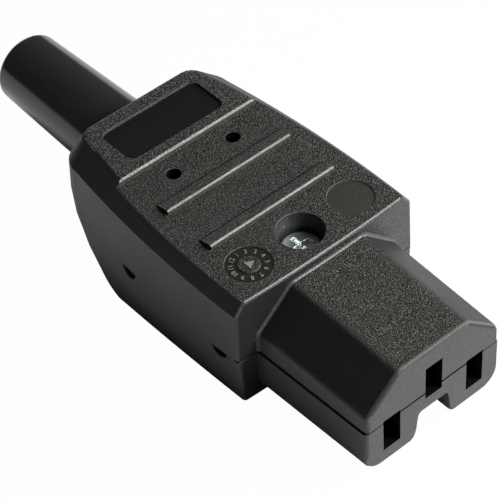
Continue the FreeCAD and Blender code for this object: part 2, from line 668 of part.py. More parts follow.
def bend_relief_sleeve():
    """Turn the soft sleeve: flange in the seat block, plain neck, tapered tail with a round end."""
    body = new_body("bend_relief_sleeve")
    tip = f"{BODY_REAR} + sleeve_reach"
    profile = [
        (f"{FLANGE_REAR} - flange_length", "sleeve_bore/2"),
        (tip, "sleeve_bore/2"),
        (tip, "sleeve_tip/2"),
        (BODY_REAR, "sleeve_root/2"),
        (FLANGE_REAR, "sleeve_root/2"),
        (FLANGE_REAR, "flange_diameter/2"),
        (f"{FLANGE_REAR} - flange_length", "flange_diameter/2"),
    ]
    sketch = outline(body, "sleeve_profile", "YZ_Plane", "0", profile,
                     rounds={2: "sleeve_round"}, origin=("0", "parting_rise"))
    feature = body.newObject("PartDesign::Revolution", "sleeve")
    feature.Profile = sketch
    feature.ReferenceAxis = (sketch, ["H_Axis"])
    feature.Angle = 360
    doc.recompute()
    return body


def screw(label, place, seat, up, sizes, length):
    """Turn a pan head screw with a cross recess, its head resting on the seat."""
    body = new_body(label)
    shank, head, height = sizes
    sign, back = ("+", "-") if up else ("-", "+")
    crown = f"{seat} {sign} {height}"
    tip = f"{seat} {back} ({length})"

    def span(first, second):
        return (second, first) if up else (first, second)

    drum(body, "Additive", "head", "z", place, head, span(crown, seat))
    soften(body, "head_round", "head_round",
           lambda edge: len(edge.Vertexes) == 1 and abs(middle(edge).z - value(crown)) < NEAR)
    drum(body, "Additive", "shank", "z", place, shank, span(seat, tip))
    across, along = place
    arm = f"{head}*drive_share/2"
    recess = span(f"{crown} {sign} drive_depth", f"{crown} {back} drive_depth")
    block(body, "Subtractive", "drive_across", (f"{across} - {arm}", f"{across} + {arm}"),
          (f"{along} - drive_width/2", f"{along} + drive_width/2"), recess)
    block(body, "Subtractive", "drive_along", (f"{across} - drive_width/2", f"{across} + drive_width/2"),
          (f"{along} - {arm}", f"{along} + {arm}"), recess)
    return body


def cover_nut():
    """Cut the hexagonal nut that the cover screw pulls into the lower half."""
    body = new_body("cover_nut")
    hexagon(body, "Additive", "hexagon", "nut_flats", (f"{NUT_TOP} - nut_height", NUT_TOP))
    drum(body, "Subtractive", "thread_bore", "z", ("0", SCREW_Y), "screw_shank + 2*small_play",
         (f"{NUT_TOP} - 2*nut_height", f"{NUT_TOP} + nut_height"))
    return body


def cable_clamp():
    """Mould the bar that presses the cable against the rib in the upper half."""
    body = new_body("cable_clamp")
    block(body, "Additive", "bar", ("-clamp_width/2", "clamp_width/2"),
          (f"{CLAMP_Y} - clamp_length/2", f"{CLAMP_Y} + clamp_length/2"),
          ("clamp_top - clamp_height", "clamp_top"))
    soften(body, "bar_corners", "clamp_round", lambda edge: runs_along(edge, "z"))
    drum(body, "Subtractive", "saddle", "y", ("0", "parting_rise"), "cable_diameter",
         (f"{CLAMP_Y} - clamp_length", f"{CLAMP_Y} + clamp_length"))
    for label, sign in (("left", "-"), ("right", "")):
        drum(body, "Subtractive", f"hole_{label}", "z", (f"{sign}clamp_spacing/2", CLAMP_Y),
             "clamp_shank + 2*small_play", ("clamp_top - 2*clamp_height", ABOVE_PARTING))
    return body


def contact(label, across, rise, terminal, ringed):
    """Fold a contact: seamed sleeve for the pin, flat tail, and a terminal pad with a drawn collar."""
    body = new_body(f"{label}_contact")
    seat = f"{rise} - {CONTACT_DROP}"
    crown = f"{rise} + {CONTACT_DROP}"
    left = f"{across} - sleeve_width/2"
    right = f"{across} + sleeve_width/2"
    block(body, "Additive", "sleeve", (left, right), ("contact_start", CONTACT_REAR), (seat, crown))
    block(body, "Subtractive", "pin_space", (f"{left} + sheet", f"{right} - sheet"),
          ("contact_start - sheet", f"{CONTACT_REAR} + sheet"), (f"{seat} + sheet", f"{crown} - sheet"))
    block(body, "Subtractive", "seam", (f"{across} - contact_seam/2", f"{across} + contact_seam/2"),
          ("contact_start - sheet", f"{CONTACT_REAR} + sheet"), (f"{crown} - 2*sheet", f"{crown} + sheet"))
    block(body, "Additive", "tail", (f"{across} - tail_width/2", f"{across} + tail_width/2"),
          (f"{CONTACT_REAR} - tail_width", terminal), (seat, f"{seat} + sheet"))
    block(body, "Additive", "pad", (f"{across} - terminal_pad/2", f"{across} + terminal_pad/2"),
          (f"{terminal} - terminal_pad/2", f"{terminal} + terminal_pad/2"), (seat, f"{seat} + sheet"))
    drum(body, "Additive", "collar", "z", (across, terminal), "terminal_collar",
         (f"{seat} - terminal_collar_height", seat))
    drum(body, "Subtractive", "thread_bore", "z", (across, terminal), "terminal_shank + 2*small_play",
         (f"{seat} - 2*terminal_collar_height", f"{seat} + 2*sheet"))
    if ringed:
        drum(body, "Additive", "ring", "z", (across, SCREW_Y), RING_DIAMETER, (seat, f"{seat} + sheet"))
        drum(body, "Subtractive", "ring_hole", "z", (across, SCREW_Y), "post_diameter + 2*ring_play",
             (f"{seat} - sheet", f"{seat} + 2*sheet"))
    return body


def contact_spring(label, across, rise):
    """Fold the steel helper spring that straddles a contact sleeve."""
    body = new_body(f"{label}_contact_spring")
    front = "contact_start + spring_setback"
    rear = f"{front} + spring_length"
    seat = f"{rise} - {CONTACT_DROP} + sheet"
    crown = f"{rise} + {CONTACT_DROP}"
    half = "sleeve_width/2"
    outer = f"({half} + spring_sheet)"
    block(body, "Additive", "bridge", (f"{across} - {outer}", f"{across} + {outer}"),
          (front, rear), (seat, f"{crown} + spring_sheet"))
    block(body, "Subtractive", "span", (f"{across} - {half}", f"{across} + {half}"),
          (f"{front} - spring_length", f"{rear} + spring_length"), (f"{seat} - sheet", crown))
    return body


def wire_plate(label, across, along, seat):
    """Stamp the square plate that presses the wire on a terminal pad."""
    body = new_body(f"{label}_wire_plate")
    low = f"{seat} + sheet"
    block(body, "Additive", "plate", (f"{across} - plate_side/2", f"{across} + plate_side/2"),
          (f"{along} - plate_side/2", f"{along} + plate_side/2"), (low, f"{low} + plate_height"))
    drum(body, "Subtractive", "hole", "z", (across, along), "terminal_shank + 2*small_play",
         (f"{low} - plate_height", f"{low} + 2*plate_height"))
    return body


def build():
    """Build every sub-part in the order of assembly."""
    bodies = [lower_housing(), cover_nut()]
    for label, across, terminal, seat in TERMINALS:
        rise = f"({seat} + {CONTACT_DROP})"
        bodies.append(contact(label, across, rise, terminal, label == "earth"))
        bodies.append(contact_spring(label, across, rise))
        bodies.append(wire_plate(label, across, terminal, seat))
        bodies.append(screw(
            f"{label}_terminal_screw", (across, terminal), f"({seat} + sheet + plate_height)", True,
            ("terminal_shank", "terminal_head", "terminal_head_height"),
            "plate_height + sheet + terminal_collar_height",
        ))
    bodies.append(bend_relief_sleeve())
    bodies.append(upper_housing())
    bodies.append(cable_clamp())
    for label, sign in (("left", "-"), ("right", "")):
        bodies.append(screw(
            f"clamp_screw_{label}", (f"{sign}clamp_spacing/2", CLAMP_Y), "(clamp_top - clamp_height)", False,
            ("clamp_shank", "clamp_head", "clamp_head_height"), "clamp_height + clamp_grip",
        ))
    bodies.append(screw(
        "cover_screw", ("0", SCREW_Y), SCREW_SEAT, True,
        ("screw_shank", "screw_head", "screw_head_height"), f"{SCREW_SEAT} - {NUT_TOP} + nut_height",
    ))
    return bodies


def export(bodies):
    """Check every object and shape, then write one file for each sub-part."""
    doc.recompute()
    for item in doc.Objects:
        if "Invalid" in item.State or "Error" in item.State:
            raise RuntimeError(f"{item.Label}: {item.State}")
    for body in bodies:
        if body.Shape.isNull() or not body.Shape.isValid() or len(body.Shape.Solids) != 1:
            raise RuntimeError(f"{body.Label}: not one valid solid")
    os.makedirs("parts", exist_ok=True)
    for body in bodies:
        body.Shape.exportStep(f"parts/{body.Label}.step")


export(build())
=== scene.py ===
"""Studio scene of a rewireable appliance connector: moulded halves, soft sleeve, screw and wiring."""
from __future__ import annotations

import logging
import math
from collections.abc import Callable
from dataclasses import dataclass, field
from enum import Enum
from typing import Any, Union

import bmesh
import bpy
from mathutils import Matrix, Vector

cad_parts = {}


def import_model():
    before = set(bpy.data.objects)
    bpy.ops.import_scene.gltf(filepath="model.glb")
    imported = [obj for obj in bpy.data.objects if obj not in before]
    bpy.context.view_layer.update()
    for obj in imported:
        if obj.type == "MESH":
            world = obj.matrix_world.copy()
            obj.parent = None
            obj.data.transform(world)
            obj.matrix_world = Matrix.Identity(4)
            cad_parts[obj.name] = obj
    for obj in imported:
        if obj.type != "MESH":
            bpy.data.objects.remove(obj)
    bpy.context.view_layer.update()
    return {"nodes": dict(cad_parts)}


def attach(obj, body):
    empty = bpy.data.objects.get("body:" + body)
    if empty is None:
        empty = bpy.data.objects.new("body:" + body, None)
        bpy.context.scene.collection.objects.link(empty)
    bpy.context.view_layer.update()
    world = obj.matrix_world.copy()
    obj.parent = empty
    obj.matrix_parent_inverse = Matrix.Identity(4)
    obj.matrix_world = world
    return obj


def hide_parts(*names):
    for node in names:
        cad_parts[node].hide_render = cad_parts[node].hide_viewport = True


log = logging.getLogger("connector")

MM = 0.001
Rgb = tuple[float, float, float]
Stops = list[tuple[float, float]]

MIDDLE = 0.5
NOISE_ROUGHNESS = 0.55
BEVEL_SAMPLES = 6
SHADE_SAMPLES = 8
PIT_STOPS: Stops = [(0.36, 0.0), (0.66, 1.0)]
FLECK_STOPS: Stops = [(0.50, 0.0), (0.66, 1.0)]
FADE_STOPS: Stops = [(0.74, 1.0), (1.0, 0.0)]
SHADE_STOPS: Stops = [(0.67, 0.0), (0.87, 1.0)]
EVEN: Rgb = (1.0, 1.0, 1.0)
WHITE: Rgb = (1.0, 1.0, 1.0)
WELD = 0.001 * MM
FLUSH_DEGREES = 0.2
CRISP_DEGREES = 32
SOFT_DEGREES = 40


class Signal:
    """A value in a shader that takes part in Python arithmetic."""

    def __init__(self, bench: ShaderBench, socket: bpy.types.NodeSocket) -> None:
        """Keep the socket and the bench that it belongs to."""
        self.bench = bench
        self.socket = socket

    def _math(self, operation: str, first: Operand, second: Operand) -> Signal:
        """Add one Math node.

        Args:
            operation: the Math node's operation.
            first: the first operand.
            second: the second operand.

        Returns:
            The node's result.
        """
        settings = {"operation": operation}
        return self.bench.node("ShaderNodeMath", settings, {0: first, 1: second})["Value"]

    def __add__(self, other: Operand) -> Signal:
        """Add another value."""
        return self._math("ADD", self, other)

    def __radd__(self, other: Operand) -> Signal:
        """Add this value to a number."""
        return self._math("ADD", other, self)

    def __sub__(self, other: Operand) -> Signal:
        """Take another value away."""
        return self._math("SUBTRACT", self, other)

    def __rsub__(self, other: Operand) -> Signal:
        """Take this value away from a number."""
        return self._math("SUBTRACT", other, self)

    def __mul__(self, other: Operand) -> Signal:
        """Multiply by another value."""
        return self._math("MULTIPLY", self, other)

    def __rmul__(self, other: Operand) -> Signal:
        """Multiply a number by this value."""
        return self._math("MULTIPLY", other, self)

    def __abs__(self) -> Signal:
        """Drop the sign."""
        return self._math("ABSOLUTE", self, 0.0)

    def peak(self, other: Operand) -> Signal:
        """Give the larger of two values."""
        return self._math("MAXIMUM", self, other)


Operand = Union[Signal, float]


class Outputs:
    """The outputs of one node, looked up by name."""

    def __init__(self, bench: ShaderBench, node: bpy.types.Node) -> None:
        """Keep the node and its bench."""
        self.bench = bench
        self.raw = node

    def __getitem__(self, name: str) -> Signal:
        """Give one output that is in use."""
        socket = next(item for item in self.raw.outputs if item.name == name and item.enabled)
        return Signal(self.bench, socket)


class ShaderBench:
    """A node tree under construction."""

    def __init__(self, tree: bpy.types.NodeTree) -> None:
        """Clear the tree."""
        self.tree = tree
        tree.nodes.clear()

    def node(
        self,
        kind: str,
        settings: dict[str, Any] | None = None,
        inputs: dict[str | int, Any] | None = None,
    ) -> Outputs:
        """Add any node, set it up and feed its sockets.

        Args:
            kind: the node's type.
            settings: properties that are set first; "stops" fills a colour ramp.
            inputs: a value or a Signal for each socket, by name or place.

        Returns:
            The node's outputs.
        """
        made = self.tree.nodes.new(kind)
        for name, setting in (settings or {}).items():
            if name == "stops":
                self._fill_ramp(made.color_ramp, setting)
            else:
                setattr(made, name, setting)
        for name, given in (inputs or {}).items():
            socket = self._socket(made, name)
            if isinstance(given, Signal):
                self.tree.links.new(given.socket, socket)
            else:
                socket.default_value = given
        return Outputs(self, made)

    @staticmethod
    def _socket(node: bpy.types.Node, name: str | int) -> bpy.types.NodeSocket:
        """Find an input by its place, or by its name among those in use."""
        if isinstance(name, int):
            return node.inputs[name]
        return next(item for item in node.inputs if item.name == name and item.enabled)

    @staticmethod
    def _fill_ramp(ramp: bpy.types.ColorRamp, stops: Stops) -> None:
        """Give a ramp its grey stops, each a place and a level."""
        while len(ramp.elements) < len(stops):
            ramp.elements.new(1.0)
        for element, (place, level) in zip(ramp.elements, stops):
            element.position = place
            element.color = (level, level, level, 1.0)

    def place(self) -> Signal:
        """Give the Object coordinates."""
        return self.node("ShaderNodeTexCoord")["Object"]

    def noise(self, size: float, detail: float = 2.0, stretch: Rgb = EVEN) -> Signal:
        """Add a noise pattern.

        Args:
            size: the size of its features in metres.
            detail: the octaves of finer noise.
            stretch: how far the features are squeezed along each axis.

        Returns:
            The noise, about 0 to 1.
        """
        where = self.node("ShaderNodeMapping", {}, {"Vector": self.place(), "Scale": stretch})["Vector"]
        inputs = {"Vector": where, "Scale": 1 / size, "Detail": detail, "Roughness": NOISE_ROUGHNESS}
        return self.node("ShaderNodeTexNoise", {"noise_dimensions": "3D"}, inputs)["Fac"]

    def ramp(self, level: Signal, stops: Stops) -> Signal:
        """Bend a value by a ramp of grey stops."""
        return self.node("ShaderNodeValToRGB", {"stops": stops}, {"Fac": level})["Color"]

    def blend(self, factor: Signal, first: Rgb, second: Rgb) -> Signal:
        """Mix two colours by a value."""
        inputs = {"Factor": factor, "A": (*first, 1.0), "B": (*second, 1.0)}
        return self.node("ShaderNodeMix", {"data_type": "RGBA"}, inputs)["Result"]

    def relief(self, height: Signal, depth: float, edge: float, strength: float = 1.0) -> Signal:
        """Turn a height into a bumped normal over softened edges.

        Args:
            height: the height pattern, about 0 to 1.
            depth: the depth of the pattern in metres.
            edge: the radius of the softened edges in metres.
            strength: the share of the relief that shows.

        Returns:
            The normal.
        """
        soft = self.node("ShaderNodeBevel", {"samples": BEVEL_SAMPLES}, {"Radius": edge})["Normal"]
        inputs = {"Strength": strength, "Distance": depth, "Height": height, "Normal": soft}
        return self.node("ShaderNodeBump", {}, inputs)["Normal"]

    def surface(self, inputs: dict[str | int, Any]) -> None:
        """Finish the tree with a Principled shader."""
        shader = self.node("ShaderNodeBsdfPrincipled", {}, inputs)["BSDF"]
        self.node("ShaderNodeOutputMaterial", {}, {"Surface": shader})


def new_bench(name: str) -> tuple[bpy.types.Material, ShaderBench]:
    """Start a material.

    Args:
        name: the material's name.

    Returns:
        The material and the bench for its nodes.
    """
    material = bpy.data.materials.new(name)
    material.use_nodes = True
    return material, ShaderBench(material.node_tree)


@dataclass(frozen=True)
class MouldedPlastic:
    """Charcoal moulded plastic with the grain of its mould."""

    name: str
    tone: Rgb
    fleck: Rgb
    roughness: float
    grain: float
    depth: float
    gloss: float = 0.5
    index: float = 1.5
    fade: float = 0.0
    edge: float = 0.12 * MM
    drift_size: float = 9 * MM
    drift_gloss: float = 0.12
    pit_gloss: float = 0.10

    def material(self) -> bpy.types.Material:
        """Build the material: flecked colour, uneven gloss and grain.

        With a fade, the grain dies away at that distance from the middle of the part.

        Returns:
            The material.
        """
        material, bench = new_bench(self.name)
        grain = bench.noise(self.grain)
        drift = bench.noise(self.drift_size, 3.0)
        pits = bench.ramp(grain, PIT_STOPS)
        flecks = bench.ramp(grain, FLECK_STOPS)
        if self.fade > 0:
            place = bench.node("ShaderNodeSeparateXYZ", {}, {"Vector": bench.place()})
            inner = bench.ramp(abs(place["X"]) * (1 / self.fade), FADE_STOPS)
            flecks, pits = flecks * inner, pits * inner
        drift_part = self.drift_gloss * (drift - MIDDLE)
        pit_part = self.pit_gloss * (MIDDLE - pits)
        bench.surface({
            "Base Color": bench.blend(flecks, self.tone, self.fleck),
            "Roughness": self.roughness + drift_part + pit_part,
            "IOR": self.index,
            "Specular IOR Level": self.gloss,
            "Normal": bench.relief(pits, self.depth, self.edge),
        })
        return material


@dataclass(frozen=True)
class SoftRubber:
    """Smooth black rubber with a satin skin."""

    name: str
    tone: Rgb
    roughness: float
    gloss: float = 0.5
    dust: float = 1.6
    skin_size: float = 0.35 * MM
    skin_depth: float = 0.008 * MM
    skin_share: float = 0.5
    skin_gloss: float = 0.05
    drift_size: float = 7 * MM
    drift_stretch: Rgb = (1.0, 0.35, 1.0)
    drift_gloss: float = 0.10
    edge: float = 0.2 * MM

    def material(self) -> bpy.types.Material:
        """Build the material: a dusty drift in colour and gloss, and a faint skin."""
        material, bench = new_bench(self.name)
        skin = bench.noise(self.skin_size, 3.0)
        drift = bench.noise(self.drift_size, 3.0, self.drift_stretch)
        lighter = tuple(self.dust * part for part in self.tone)
        drift_part = self.drift_gloss * (drift - MIDDLE)
        skin_part = self.skin_gloss * (skin - MIDDLE)
        bench.surface({
            "Base Color": bench.blend(drift, self.tone, lighter),
            "Roughness": self.roughness + drift_part + skin_part,
            "Specular IOR Level": self.gloss,
            "Normal": bench.relief(skin, self.skin_depth, self.edge, self.skin_share),
        })
        return material


@dataclass(frozen=True)
class PlainMetal:
    """Bare or plated metal with fine scratches."""

    name: str
    tone: Rgb
    tint: Rgb
    roughness: float
    scratch: float
    edge: float = 0.08 * MM
    drift_size: float = 1.6 * MM
    drift_gloss: float = 0.18
    line_size: float = 0.5 * MM
    line_depth: float = 0.02 * MM
    line_share: float = 0.5
    line_gloss: float = 0.10

    def material(self) -> bpy.types.Material:
        """Build the material: tinted plating, uneven gloss and scratches."""
        material, bench = new_bench(self.name)
        drift = bench.noise(self.drift_size, 3.0)
        lines = bench.noise(self.line_size, 4.0, (1.0, self.scratch, 1.0))
        drift_part = self.drift_gloss * (drift - MIDDLE)
        line_part = self.line_gloss * (lines - MIDDLE)
        bench.surface({
            "Base Color": bench.blend(drift, self.tone, self.tint),
            "Metallic": 1.0,
            "Roughness": self.roughness + drift_part + line_part,
            "Normal": bench.relief(lines, self.line_depth, self.edge, self.line_share),
        })
        return material


class Finish(Enum):
    """The finishes of the connector's pieces."""

    # The grain is real; its light flecks, far paler than the black plastic, are partly painted glints of its
    # specks.
    SPARK = MouldedPlastic(
        "spark_textured_plastic", (0.004, 0.004, 0.003), (0.124, 0.124, 0.106), 0.47, 0.19 * MM, 0.18 * MM)
    NOSE = MouldedPlastic(
        "fine_textured_plastic", (0.006, 0.006, 0.005), (0.165, 0.165, 0.140), 0.48, 0.17 * MM, 0.21 * MM,
        fade=6.3 * MM)
    SATIN = MouldedPlastic(
        "satin_plastic", (0.034, 0.035, 0.036), (0.044, 0.045, 0.046), 0.52, 0.22 * MM, 0.010 * MM)
    # Painted shade: a much darker copy of the plastic on the sloping bevels, which turn away from the light.
    BEVEL = MouldedPlastic(
        "painted_shade_bevel_plastic", (0.006, 0.006, 0.007), (0.013, 0.013, 0.014), 0.50, 0.22 * MM, 0.008 * MM)
    FACE = MouldedPlastic(
        "face_plastic", (0.009, 0.010, 0.011), (0.028, 0.029, 0.030), 0.42, 0.30 * MM, 0.020 * MM, 1.0, 1.58)
    # Painted highlight: a lighter, glossier copy of the plastic on the forward edges and crests, for the
    # bright lines of light along them.
    EDGE = MouldedPlastic(
        "painted_highlight_edge_plastic", (0.060, 0.060, 0.053), (0.100, 0.100, 0.088), 0.42, 0.26 * MM, 0.012 * MM, 0.6)
    # The sunk panel's own dark plastic, also laid on the strips behind the ribs as a painted shade line.
    PANEL = MouldedPlastic(
        "panel_and_painted_shade_line_plastic", (0.004, 0.004, 0.004), (0.007, 0.007, 0.007), 0.50, 0.50 * MM, 0.006 * MM, 0.28)
    DISC = MouldedPlastic(
        "disc_plastic", (0.026, 0.026, 0.023), (0.036, 0.036, 0.032), 0.50, 0.40 * MM, 0.010 * MM)
    DIAL = MouldedPlastic(
        "dial_plastic", (0.011, 0.011, 0.009), (0.018, 0.018, 0.015), 0.46, 0.40 * MM, 0.010 * MM, 0.4)
    # Painted highlight: light grey on the raised dial signs, for the glints that they catch.
    MARK = MouldedPlastic(
        "painted_glint_mark_plastic", (0.210, 0.210, 0.190), (0.300, 0.300, 0.275), 0.34, 0.30 * MM, 0.010 * MM, 0.8)
    # Painted shade: a near-black copy of the plastic inside the slots and vents, where the light does not
    # reach.
    PIT = MouldedPlastic(
        "painted_shade_pit_plastic", (0.002, 0.002, 0.003), (0.003, 0.003, 0.005), 0.80, 0.40 * MM, 0.010 * MM, 0.05)
    CLAMP = MouldedPlastic(
        "clamp_plastic", (0.055, 0.055, 0.056), (0.070, 0.070, 0.070), 0.50, 0.30 * MM, 0.010 * MM)
    RUBBER = SoftRubber("sleeve_rubber", (0.016, 0.016, 0.016), 0.17)
    ZINC = PlainMetal("zinc_plate", (0.86, 0.87, 0.83), (0.66, 0.78, 0.80), 0.36, 0.2)
    BRASS = PlainMetal("pressed_brass", (0.72, 0.53, 0.24), (0.62, 0.43, 0.18), 0.30, 0.12)
    SPRING = PlainMetal("spring_steel", (0.50, 0.50, 0.50), (0.42, 0.42, 0.43), 0.33, 0.1)


class Paintbox:
    """The materials, each built once."""

    def __init__(self) -> None:
        """Start with no material."""
        self._made: dict[Finish, bpy.types.Material] = {}

    def of(self, finish: Finish) -> bpy.types.Material:
        """Give the material of a finish."""
        if finish not in self._made:
            self._made[finish] = finish.value.material()
        return self._made[finish]


@dataclass(frozen=True)
class EdgeView:
    """One edge of a piece, with its place, its direction and the angle between its two faces."""

    middle: Vector
    run: Vector
    turn: float

    @property
    def outward(self) -> bool:
        """Say whether the edge stands out, as a corner does."""
        return self.turn > 0


@dataclass(frozen=True)
class FaceView:
    """One face of a piece, with its place and normal."""

    middle: Vector
    normal: Vector


class Workpiece:
    """A mesh object on the bench, shaped in edit mode."""

    def __init__(self, made: bpy.types.Object) -> None:
        """Keep the object."""
        self.object = made

    @classmethod
    def from_node(cls, name: str, node: bpy.types.Object) -> Workpiece:
        """Copy a solid's mesh, and join its loose triangles into whole faces.

        Args:
            name: the new piece's name.
            node: the solid that it stands for.

        Returns:
            The piece.
        """
        copy = bpy.data.objects.new(name, node.data.copy())
        bpy.context.scene.collection.objects.link(copy)
        copy.data.materials.clear()
        piece = cls(copy)
        piece.enter()
        bpy.ops.mesh.select_all(action="SELECT")
        bpy.ops.mesh.remove_doubles(threshold=WELD)
        bpy.ops.mesh.dissolve_limited(angle_limit=math.radians(FLUSH_DEGREES))
        bpy.ops.mesh.mark_sharp(clear=True)
        piece.leave()
        bpy.ops.mesh.customdata_custom_splitnormals_clear()
        return piece

    def take_up(self) -> None:
        """Select the piece alone."""
        bpy.ops.object.select_all(action="DESELECT")
        self.object.select_set(True)
        bpy.context.view_layer.objects.active = self.object

    def enter(self) -> None:
        """Open the piece alone in edit mode."""
        self.take_up()
        bpy.ops.object.mode_set(mode="EDIT")

    def leave(self) -> None:
        """Close edit mode."""
        bpy.ops.object.mode_set(mode="OBJECT")

    def _clear_selection(self, mode: str) -> None:
        """Deselect all of the mesh, and pick by edges or faces."""
        self.enter()
        bpy.ops.mesh.select_mode(type=mode)
        bpy.ops.mesh.select_all(action="DESELECT")
        self.leave()

    def pick_edges(self, chosen: Callable[[EdgeView], bool]) -> int:
        """Select the edges that a test picks.

        Args:
            chosen: the test.

        Returns:
            The number of edges picked.
        """
        self._clear_selection("EDGE")
        mesh = bmesh.new()
        mesh.from_mesh(self.object.data)
        picked = []
        for edge in mesh.edges:
            if len(edge.link_faces) != 2:
                continue
            first, second = (corner.co for corner in edge.verts)
            turn = edge.calc_face_angle_signed(0.0)
            if chosen(EdgeView((first + second) / 2, (second - first).normalized(), turn)):
                picked.append(edge.index)
        mesh.free()
        for index in picked:
            self.object.data.edges[index].select = True
        return len(picked)

    def pick_faces(self, chosen: Callable[[FaceView], bool]) -> int:
        """Select the faces that a test picks.

        Args:
            chosen: the test.

        Returns:
            The number of faces picked.
        """
        self._clear_selection("FACE")
        picked = 0
        for face in self.object.data.polygons:
            face.select = chosen(FaceView(face.center, face.normal))
            picked += face.select
        return picked

    def merge_faces(self, chosen: Callable[[FaceView], bool]) -> None:
        """Make one face of the neighbouring faces that a test picks.

        Args:
            chosen: the test.
        """
        count = self.pick_faces(chosen)
        self.enter()
        bpy.ops.mesh.dissolve_faces()
        self.leave()
        log.info("%s: %d faces merged", self.object.name, count)

    def lift_faces(self, rise: float, chosen: Callable[[FaceView], bool]) -> None:
        """Lift the faces that a test picks.

        Args:
            rise: the way up in metres.
            chosen: the test.
        """
        count = self.pick_faces(chosen)
        self.enter()
        bpy.ops.transform.translate(value=(0.0, 0.0, rise))
        self.leave()
        log.info("%s: %d faces lifted by %.2f mm", self.object.name, count, rise / MM)

    def inset_faces(self, width: float, chosen: Callable[[FaceView], bool]) -> None:
        """Cut a border into each of the faces that a test picks.

        Args:
            width: the width of the border in metres.
            chosen: the test.
        """
        count = self.pick_faces(chosen)
        self.enter()
        bpy.ops.mesh.inset(thickness=width)
        self.leave()
        log.info("%s: %d faces bordered", self.object.name, count)

    def round_edges(self, radius: float, segments: int, chosen: Callable[[EdgeView], bool]) -> None:
        """Round the edges that a test picks.

        Args:
            radius: the width of the rounding in metres.
            segments: the faces across the rounding.
            chosen: the test.
        """
        count = self.pick_edges(chosen)
        if count == 0:
            log.warning("%s: no edge to round at %.2f mm", self.object.name, radius / MM)
            return
        self.enter()
        bpy.ops.mesh.bevel(offset=radius, segments=segments, affect="EDGES", clamp_overlap=False)
        self.leave()
        log.info("%s: %d edges rounded at %.2f mm", self.object.name, count, radius / MM)

    def dress(self, paint: bpy.types.Material, chosen: Callable[[FaceView], bool] | None = None) -> None:
        """Give a material to the whole piece, or to the faces that a test picks.

        Args:
            paint: the material.
            chosen: the test; every face is painted without one.
        """
        materials = self.object.data.materials
        if paint.name not in materials:
            materials.append(paint)
        slot = materials.find(paint.name)
        self.pick_faces(chosen or (lambda _face: True))
        self.enter()
        self.object.active_material_index = slot
        bpy.ops.object.material_slot_assign()
        self.leave()

    def smooth(self, angle: float) -> None:
        """Shade the piece smooth, apart from edges sharper than the angle in degrees."""
        self.take_up()
        bpy.ops.object.shade_smooth_by_angle(angle=math.radians(angle))
        self.apply("WEIGHTED_NORMAL", weight=100, keep_sharp=True)

    def apply(self, kind: str, **settings: Any) -> None:
        """Add a modifier and apply it.

        Args:
            kind: the modifier's type.
            settings: its properties.
        """
        self.take_up()
        modifier = self.object.modifiers.new(kind.lower(), kind)
        for name, setting in settings.items():
            setattr(modifier, name, setting)
        bpy.ops.object.modifier_apply(modifier=modifier.name)

    def hand_over(self, slot: str, *nodes: str) -> None:
        """Put the finished piece in the frame, in place of its solids."""
        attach(self.object, "root")
        if nodes:
            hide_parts(*nodes)


@dataclass(frozen=True)
class Ring:
    """A round edge on the top of the housing."""

    across: float
    along: float
    radius: float
    level: float
    softness: float

    def holds(self, edge: EdgeView, near: float) -> bool:
        """Say whether an outward edge lies on the ring."""
        out = math.hypot(edge.middle.x - self.across, edge.middle.y - self.along)
        return edge.outward and abs(out - self.radius) < near and abs(edge.middle.z - self.level) < near


